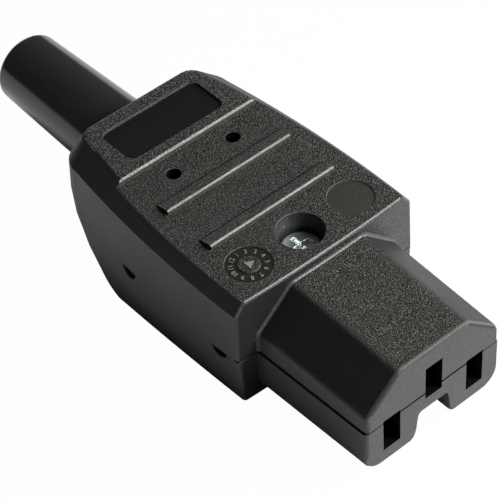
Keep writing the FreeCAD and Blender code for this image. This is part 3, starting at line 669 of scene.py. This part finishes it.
@dataclass
class Housing:
    """The two moulded halves, with their grain, softened edges and open line."""

    top: float = 17.9 * MM
    platform: float = 18.7 * MM
    face: float = -41.75 * MM
    front: float = -22.55 * MM
    front_bulge: float = 0.6 * MM
    step: float = 3.95 * MM
    rib_fronts: tuple[float, float] = (-12.95 * MM, -4.5 * MM)
    rib_crest: float = 18.65 * MM
    rib_tail: float = 18.1 * MM
    rib_length: float = 2.3 * MM
    nose_top: float = 15.0 * MM
    nose_half: float = 12.0 * MM
    gap_top: float = 8.4 * MM
    rim: float = 7.825 * MM
    panel_half: float = 8.0 * MM
    panel_span: tuple[float, float] = (5.7 * MM, 12.8 * MM)
    slot_end: float = -24.0 * MM
    cavity_half: float = 8.6 * MM
    cavity_floor: float = 2.9 * MM
    cavity_roof: float = 12.7 * MM
    groove_half: float = 2.75 * MM
    groove_roof: float = 6.8 * MM
    earth_floor: float = 7.1 * MM
    vent_across: float = 5.0 * MM
    vent_along: float = 0.95 * MM
    vent_reach: float = 1.05 * MM
    front_round: float = 0.55 * MM
    platform_round: float = 0.5 * MM
    outline_round: float = 0.25 * MM
    root_fillet: float = 0.5 * MM
    crest_round: float = 0.28 * MM
    tail_line: float = 0.28 * MM
    rim_round: float = 0.07 * MM
    near: float = 0.08 * MM
    flat: float = 0.93
    edge_share: float = 0.3
    bevel_share: float = 0.25
    front_share: float = 0.5
    inner_turn: float = -0.2
    disc_depth: float = 0.2 * MM
    nose_share: float = 0.70
    gap_fill: float = 0.15 * MM
    foot_round: float = 0.6 * MM
    foot: float = 3.15 * MM
    foot_reach: float = 0.25 * MM
    foot_rise: float = 1.3 * MM
    rings: tuple[Ring, ...] = (
        Ring(0.0, -17.95 * MM, 3.15 * MM, 17.9 * MM, 0.14 * MM),
        Ring(-8.5 * MM, -17.95 * MM, 3.1 * MM, 17.9 * MM, 0.07 * MM),
        Ring(8.5 * MM, -17.95 * MM, 3.1 * MM, 17.9 * MM, 0.07 * MM),
        Ring(-8.5 * MM, -17.95 * MM, 1.45 * MM, 17.9 * MM, 0.09 * MM),
        Ring(-5.0 * MM, 0.95 * MM, 1.0 * MM, 17.9 * MM, 0.09 * MM),
        Ring(5.0 * MM, 0.95 * MM, 1.0 * MM, 17.9 * MM, 0.09 * MM),
    )

    def build(self, nodes: dict[str, bpy.types.Object], paints: Paintbox) -> None:
        """Shape and dress both halves.

        Args:
            nodes: the solids by name.
            paints: the materials.
        """
        upper = Workpiece.from_node("upper_shell", nodes["upper_housing"])
        self.shape_upper(upper)
        lower = Workpiece.from_node("lower_shell", nodes["lower_housing"])
        lower.lift_faces(self.gap_fill, self.on_nose_rim)
        lower.round_edges(self.foot_round, 3, self.at_groove_foot)
        for piece, node in ((upper, "upper_housing"), (lower, "lower_housing")):
            piece.dress(paints.of(Finish.SATIN))
            piece.dress(paints.of(Finish.SPARK), self.on_top)
            # Painted shade on the sloping bevels.
            piece.dress(paints.of(Finish.BEVEL), self.on_bevel)
            piece.dress(paints.of(Finish.NOSE), self.on_nose)
            piece.dress(paints.of(Finish.FACE), self.on_front)
            # Painted highlight along the forward edges and crests.
            piece.dress(paints.of(Finish.EDGE), self.on_edge)
            # The panel's own colour, and the painted shade line behind each rib.
            piece.dress(paints.of(Finish.PANEL), self.on_dark_ground)
            piece.dress(paints.of(Finish.DISC), self.in_disc)
            piece.dress(paints.of(Finish.DIAL), self.in_dial)
            # Painted shade inside the slots and vents.
            piece.dress(paints.of(Finish.PIT), self.in_hole)
            piece.smooth(CRISP_DEGREES)
            piece.hand_over("housing_plastic", node)

    def shape_upper(self, piece: Workpiece) -> None:
        """Soften the edges of the top, its ribs, platform and wells, and the root of the nose.

        Args:
            piece: the upper half.
        """
        piece.merge_faces(self.on_front_wall)
        piece.round_edges(self.root_fillet, 4, self.at_nose_root)
        piece.round_edges(self.front_round, 4, self.at_front_edge)
        piece.round_edges(self.crest_round, 1, self.at_crest)
        piece.round_edges(self.platform_round, 3, self.at_platform_outline)
        piece.round_edges(self.outline_round, 3, self.at_top_outline)
        # Cut the strips behind the rib tops that carry the painted shade line.
        piece.inset_faces(self.tail_line, self.on_rib_slope)
        piece.round_edges(self.rim_round, 2, self.at_panel_rim)
        for ring in self.rings:
            piece.round_edges(ring.softness, 2, lambda edge, ring=ring: ring.holds(edge, self.near))

    def on_nose_rim(self, face: FaceView) -> bool:
        """Pick the rim of the lower half around the nose."""
        level = abs(face.middle.z - self.rim) < self.near and face.normal.z > self.flat
        return level and face.middle.y < self.front - self.front_bulge

    def at_groove_foot(self, edge: EdgeView) -> bool:
        """Pick the two edges where the walls of the key groove meet the underside."""
        beside = abs(abs(edge.middle.x) - self.foot) < self.foot_reach and edge.middle.z < self.foot_rise
        ahead = edge.middle.y < self.front - self.front_bulge
        return edge.outward and beside and ahead and abs(edge.run.y) > self.edge_share

    def on_front_wall(self, face: FaceView) -> bool:
        """Pick the front wall of the body."""
        return face.normal.y < -self.flat and abs(face.middle.y - self.front) < self.front_bulge

    def at_platform_outline(self, edge: EdgeView) -> bool:
        """Pick the edge between the platform and the bevel around it."""
        around = edge.middle.y > self.step + self.near and edge.outward and abs(edge.run.x) < self.flat
        behind = edge.middle.y > self.panel_span[1] and edge.outward
        on_panel = abs(edge.middle.x) < self.panel_half and edge.middle.y < self.panel_span[1]
        return (around or behind) and abs(edge.middle.z - self.platform) < self.near and not on_panel

    def at_top_outline(self, edge: EdgeView) -> bool:
        """Pick the edges between the top and the bevels beside it."""
        beside = abs(edge.middle.x) > self.nose_half and edge.outward and abs(edge.run.y) > self.flat
        ahead = self.front + self.front_bulge < edge.middle.y < self.step
        return beside and ahead and abs(edge.middle.z - self.top) < self.near

    def at_front_edge(self, edge: EdgeView) -> bool:
        """Pick the edge between the top and the front wall."""
        at_front = self.front - self.front_bulge < edge.middle.y < self.front + self.near
        return at_front and abs(edge.middle.z - self.top) < self.near and edge.outward

    def at_nose_root(self, edge: EdgeView) -> bool:
        """Pick the inner corner where the nose leaves the front wall."""
        at_front = abs(edge.middle.y - self.front) < self.front_bulge
        above = edge.middle.z > self.gap_top and abs(edge.middle.x) < self.nose_half
        return at_front and above and edge.turn < self.inner_turn

    def at_crest(self, edge: EdgeView) -> bool:
        """Pick the front edges of the ribs and of the platform."""
        on_rib = any(abs(edge.middle.y - front) < self.near for front in self.rib_fronts)
        rib_crest = on_rib and abs(edge.middle.z - self.rib_crest) < self.near
        on_step = abs(edge.middle.y - self.step) < self.near
        step_crest = on_step and abs(edge.middle.z - self.platform) < self.near
        return edge.outward and (rib_crest or step_crest) and abs(edge.run.x) > self.flat

    def on_rib_slope(self, face: FaceView) -> bool:
        """Pick the sloping tops of the ribs."""
        along = any(front < face.middle.y < front + self.rib_length for front in self.rib_fronts)
        return along and face.normal.z > self.flat and self.rib_tail < face.middle.z < self.rib_crest

    def on_rib_tail(self, face: FaceView) -> bool:
        """Pick the strips along the rear edges of the ribs, which get a painted shade line."""
        tails = (front + self.rib_length for front in self.rib_fronts)
        behind = any(abs(face.middle.y - tail) < self.tail_line for tail in tails)
        return behind and face.middle.z > self.top + self.near and face.normal.y > 0

    def at_panel_rim(self, edge: EdgeView) -> bool:
        """Pick the rim of the sunk panel."""
        low, high = self.panel_span
        inside = abs(edge.middle.x) < self.panel_half and low < edge.middle.y < high
        return edge.outward and inside and abs(edge.middle.z - self.platform) < self.near

    def on_top(self, face: FaceView) -> bool:
        """Pick all of the ribs, and the faces that look up from the top, the platform and the nose."""
        on_rib = face.middle.z > self.top + self.near and face.middle.y < self.step - self.near
        return face.middle.z > self.nose_top and (face.normal.z > self.flat or on_rib)

    def on_nose(self, face: FaceView) -> bool:
        """Pick the top of the nose with its rounded sides."""
        ahead = face.middle.z > self.nose_top and face.middle.y < self.front
        return ahead and face.normal.z > self.nose_share

    def on_bevel(self, face: FaceView) -> bool:
        """Pick the sloping faces of the body and the nose, which get the painted shade."""
        sloping = self.bevel_share < face.normal.z < self.flat and abs(face.normal.y) < self.front_share
        on_rib = face.middle.z > self.top - self.near and face.middle.y < self.step
        return sloping and face.middle.z > self.gap_top and not on_rib

    def on_front(self, face: FaceView) -> bool:
        """Pick the front of the nose and of the body."""
        return face.normal.y < -self.flat and face.middle.y < self.front + self.near

    def on_edge(self, face: FaceView) -> bool:
        """Pick the softened edges that look forward and up, and the fronts of ribs and platform, which get
        the painted highlight.
        """
        forward = face.normal.y < -self.edge_share and face.middle.z > self.gap_top
        return forward and (face.normal.z > self.edge_share or face.middle.z > self.top)

    def in_panel(self, face: FaceView) -> bool:
        """Pick the floor of the sunk panel."""
        low, high = self.panel_span
        inside = abs(face.middle.x) < self.panel_half and low < face.middle.y < high
        return face.normal.z > self.flat and inside and self.top < face.middle.z < self.platform - self.near

    def in_disc(self, face: FaceView) -> bool:
        """Pick the floors of the dial and the blank disc."""
        sunk = self.top - self.disc_depth < face.middle.z < self.top - self.near
        return face.normal.z > self.flat and sunk and face.middle.y < self.step

    def in_dial(self, face: FaceView) -> bool:
        """Pick the floor of the dial, which is the left one of the two discs."""
        return self.in_disc(face) and face.middle.x < 0

    def on_dark_ground(self, face: FaceView) -> bool:
        """Pick the floor of the sunk panel, and the strips behind the ribs that get a painted shade line."""
        return self.in_panel(face) or self.on_rib_tail(face)

    def in_hole(self, face: FaceView) -> bool:
        """Pick the insides of the pin slots and the vents, which get the painted shade."""
        return self.in_slot(face) or self.in_vent(face)

    def in_vent(self, face: FaceView) -> bool:
        """Pick the walls of the two vents."""
        beside = abs(abs(face.middle.x) - self.vent_across) < self.vent_reach
        along = abs(face.middle.y - self.vent_along) < self.vent_reach
        return beside and along and face.middle.z < self.top - self.near

    def in_slot(self, face: FaceView) -> bool:
        """Pick the floor of the earth slot, and the walls of the pin slots and their cavities."""
        across, level = abs(face.middle.x), face.middle.z
        deep = self.face + self.near < face.middle.y < self.slot_end
        inside = across < self.cavity_half and self.cavity_floor < level < self.cavity_roof
        in_groove = across < self.groove_half and level < self.groove_roof
        on_floor = abs(level - self.earth_floor) < self.near and face.normal.z > self.flat
        on_wall = deep and inside and not in_groove and face.normal.y > -self.front_share
        return on_floor or on_wall


@dataclass
class Dial:
    """The raised numbers and pointer of the moulded dial, light grey as painted glints."""

    across: float = -8.5 * MM
    along: float = -17.95 * MM
    floor: float = 17.74 * MM
    hub: float = 17.88 * MM
    reach: float = 2.27 * MM
    height: float = 0.92 * MM
    rise: float = 0.10 * MM
    hours: int = 12
    lead: float = 30.0
    pointer: str = "\u25b2"
    pointer_share: float = 1.6

    def build(self, _nodes: dict[str, bpy.types.Object], paints: Paintbox) -> None:
        """Raise the numbers and the pointer, and join them into one piece.

        Args:
            _nodes: the solids by name; not used.
            paints: the materials.
        """
        marks = []
        for hour in range(1, self.hours + 1):
            turn = math.radians(self.lead) - math.tau * hour / self.hours
            spot = Vector((math.sin(-turn), math.cos(turn), 0.0)) * self.reach
            marks.append(self.letter(str(hour), spot, turn, self.floor, self.height))
        tall = self.pointer_share * self.height
        marks.append(self.letter(self.pointer, Vector(), math.radians(self.lead), self.hub, tall))
        bpy.ops.object.select_all(action="DESELECT")
        for mark in marks:
            mark.select_set(True)
        bpy.context.view_layer.objects.active = marks[0]
        bpy.ops.object.join()
        piece = Workpiece(bpy.context.object)
        piece.object.name = "dial_marks"
        # Painted glints on the raised signs.
        piece.dress(paints.of(Finish.MARK))
        piece.smooth(CRISP_DEGREES)
        piece.hand_over("housing_plastic")

    def letter(self, sign: str, spot: Vector, turn: float, level: float, height: float) -> bpy.types.Object:
        """Raise one sign on the dial.

        Args:
            sign: the sign.
            spot: its place from the middle of the dial.
            turn: how far it is turned, in radians.
            level: the height that it stands on.
            height: the height of its letters.

        Returns:
            The sign as a mesh, with its place applied.
        """
        bpy.ops.object.select_all(action="DESELECT")
        bpy.ops.object.text_add()
        made = bpy.context.object
        made.data.body = sign
        made.data.size = height
        made.data.extrude = self.rise / 2
        made.data.align_x = "CENTER"
        made.data.align_y = "CENTER"
        bpy.ops.object.convert(target="MESH")
        made = bpy.context.object
        made.location = Vector((self.across, self.along, level + self.rise / 2)) + spot
        made.rotation_euler = (0.0, 0.0, turn)
        bpy.ops.object.transform_apply(location=True, rotation=True, scale=True)
        return made


@dataclass
class Sleeve:
    """The soft bend relief sleeve."""

    def build(self, nodes: dict[str, bpy.types.Object], paints: Paintbox) -> None:
        """Shape and dress the sleeve.

        Args:
            nodes: the solids by name.
            paints: the materials.
        """
        piece = Workpiece.from_node("relief_sleeve", nodes["bend_relief_sleeve"])
        piece.dress(paints.of(Finish.RUBBER))
        piece.smooth(SOFT_DEGREES)
        piece.hand_over("sleeve_rubber", "bend_relief_sleeve")


@dataclass
class CoverScrew:
    """The plated screw in its well."""

    def build(self, nodes: dict[str, bpy.types.Object], paints: Paintbox) -> None:
        """Shape and dress the screw.

        Args:
            nodes: the solids by name.
            paints: the materials.
        """
        piece = Workpiece.from_node("closing_screw", nodes["cover_screw"])
        piece.dress(paints.of(Finish.ZINC))
        piece.smooth(CRISP_DEGREES)
        piece.hand_over("plated_steel", "cover_screw")


class Pole(Enum):
    """The three poles of the connector."""

    LINE = "line"
    NEUTRAL = "neutral"
    EARTH = "earth"


@dataclass
class Wiring:
    """The contacts, terminals and cable clamp inside."""

    pieces: dict[str, Finish] = field(default_factory=lambda: {
        "contact": Finish.BRASS,
        "contact_spring": Finish.SPRING,
        "wire_plate": Finish.ZINC,
        "terminal_screw": Finish.ZINC,
    })
    fixings: dict[str, Finish] = field(default_factory=lambda: {
        "cover_nut": Finish.ZINC,
        "cable_clamp": Finish.CLAMP,
        "clamp_screw_left": Finish.ZINC,
        "clamp_screw_right": Finish.ZINC,
    })

    def build(self, nodes: dict[str, bpy.types.Object], paints: Paintbox) -> None:
        """Dress the solids inside the housing.

        Args:
            nodes: the solids by name.
            paints: the materials.
        """
        finishes = dict(self.fixings)
        for pole in Pole:
            for kind, finish in self.pieces.items():
                finishes[f"{pole.value}_{kind}"] = finish
        for name, finish in finishes.items():
            nodes[name].data.materials.clear()
            nodes[name].data.materials.append(paints.of(finish))


@dataclass
class Lamp:
    """One soft lamp, by the direction that it shines from."""

    name: str
    towards: tuple[float, float, float]
    distance: float
    size: float
    power: float

    def light(self, aim: Vector) -> None:
        """Hang the lamp and turn it to its aim."""
        bpy.ops.object.select_all(action="DESELECT")
        way = Vector(self.towards).normalized()
        bpy.ops.object.light_add(type="AREA", location=aim + way * self.distance)
        lamp = bpy.context.object
        lamp.name = self.name
        lamp.rotation_euler = way.to_track_quat("Z", "Y").to_euler()
        lamp.data.shape = "DISK"
        lamp.data.size = self.size
        lamp.data.energy = self.power


@dataclass
class Studio:
    """White floor, white backdrop, soft lamps and the camera."""

    floor_size: float = 6.0
    floor_drop: float = 0.02 * MM
    floor_tone: float = 0.80
    show_white: float = 0.98
    mirror_floor: float = 1.0
    shade_reach: float = 20 * MM
    mirror_sky: float = 0.06
    ambient: Rgb = (0.05, 0.05, 0.05)
    aim: tuple[float, float, float] = (0.0, -11.75 * MM, 5.8 * MM)
    azimuth: float = -37.69
    elevation: float = 45.69
    roll: float = -4.29
    distance: float = 265.79 * MM
    pan: tuple[float, float] = (2.87 * MM, -2.73 * MM)
    lens: float = 146.787
    sensor: float = 36.0
    clip: tuple[float, float] = (0.01, 50.0)
    lamps: list[Lamp] = field(default_factory=lambda: [
        Lamp("key_lamp", (0.43, -0.56, 0.71), 0.20, 0.075, 0.47),
        Lamp("right_lamp", (0.92, -0.15, 0.35), 0.6, 0.22, 1.8),
        Lamp("rear_lamp", (0.34, 0.93, 0.13), 0.6, 0.22, 0.2),
    ])

    def build(self) -> None:
        """Set up the floor, backdrop, lamps and camera."""
        self.lay_floor()
        self.hang_backdrop()
        for lamp in self.lamps:
            lamp.light(Vector(self.aim))
        self.place_camera()
        bpy.context.scene.view_settings.view_transform = "Standard"

    @staticmethod
    def _whiteness(bench: ShaderBench, mirrored: Operand) -> Signal:
        """Tell how far a ray meets plain white.

        Args:
            bench: the node tree that asks.
            mirrored: the share of white that a reflection shows.

        Returns:
            One for the eye, the share for a reflection and zero for the light on the part.
        """
        path = bench.node("ShaderNodeLightPath")
        direct = path["Is Camera Ray"].peak(path["Is Transmission Ray"])
        return direct.peak(path["Is Glossy Ray"] * mirrored)

    def lay_floor(self) -> None:
        """Lay the pale floor, which keeps a trace of the part's shadow; in reflections its white fades out
        near the part, a painted shadow.
        """
        bpy.ops.object.select_all(action="DESELECT")
        bpy.ops.mesh.primitive_plane_add(size=self.floor_size, location=(0, 0, -self.floor_drop))
        floor = bpy.context.object
        floor.name = "studio_floor"
        material, bench = new_bench("pale_floor")
        tone = (self.floor_tone, self.floor_tone, self.floor_tone, 1.0)
        matt = bench.node("ShaderNodeBsdfDiffuse", {}, {"Color": tone})["BSDF"]
        bright = {"Color": (*WHITE, 1.0), "Strength": 1.0}
        white = bench.node("ShaderNodeEmission", {}, bright)["Emission"]
        # Painted shadow: ambient occlusion fades the white that reflections see near the part, leaving the
        # matt floor there.
        spot = {"Color": (*WHITE, 1.0), "Distance": self.shade_reach}
        open_sky = bench.node("ShaderNodeAmbientOcclusion", {"samples": SHADE_SAMPLES}, spot)["AO"]
        clear = bench.ramp(open_sky, SHADE_STOPS)
        share = self._whiteness(bench, clear * self.mirror_floor) * self.show_white
        mixed = bench.node("ShaderNodeMixShader", {}, {0: share, 1: matt, 2: white})["Shader"]
        bench.node("ShaderNodeOutputMaterial", {}, {"Surface": mixed})
        floor.data.materials.append(material)

    def hang_backdrop(self) -> None:
        """Surround the part with white for the eye, and with dim light for the part."""
        world = bpy.data.worlds.new("studio_backdrop")
        world.use_nodes = True
        bpy.context.scene.world = world
        bench = ShaderBench(world.node_tree)
        tone = bench.blend(self._whiteness(bench, self.mirror_sky), self.ambient, WHITE)
        light = bench.node("ShaderNodeBackground", {}, {"Color": tone, "Strength": 1.0})["Background"]
        bench.node("ShaderNodeOutputWorld", {}, {"Surface": light})

    def place_camera(self) -> None:
        """Stand the camera at the photograph's viewpoint."""
        turn, rise, roll = (math.radians(part) for part in (self.azimuth, self.elevation, self.roll))
        back = Vector((math.sin(turn) * math.cos(rise), -math.cos(turn) * math.cos(rise), math.sin(rise)))
        level = Vector((math.cos(turn), math.sin(turn), 0.0))
        upright = back.cross(level)
        right = level * math.cos(roll) + upright * math.sin(roll)
        up = upright * math.cos(roll) - level * math.sin(roll)
        spot = Vector(self.aim) + back * self.distance - right * self.pan[0] - up * self.pan[1]
        bpy.ops.object.select_all(action="DESELECT")
        bpy.ops.object.camera_add()
        camera = bpy.context.object
        camera.matrix_world = Matrix.Translation(spot) @ Matrix((right, up, back)).transposed().to_4x4()
        camera.data.lens = self.lens
        camera.data.sensor_width = self.sensor
        camera.data.clip_start, camera.data.clip_end = self.clip
        bpy.context.scene.camera = camera


def main() -> None:
    """Load the solids, build and dress each piece, and set up the studio."""
    logging.basicConfig(level=logging.INFO, format="%(name)s: %(message)s")
    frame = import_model()
    bpy.ops.object.select_all(action="DESELECT")
    paints = Paintbox()
    for part in (Housing(), Dial(), Sleeve(), CoverScrew(), Wiring()):
        part.build(frame["nodes"], paints)
        log.info("%s is dressed", type(part).__name__)
    Studio().build()


if __name__ == "__main__":
    main()
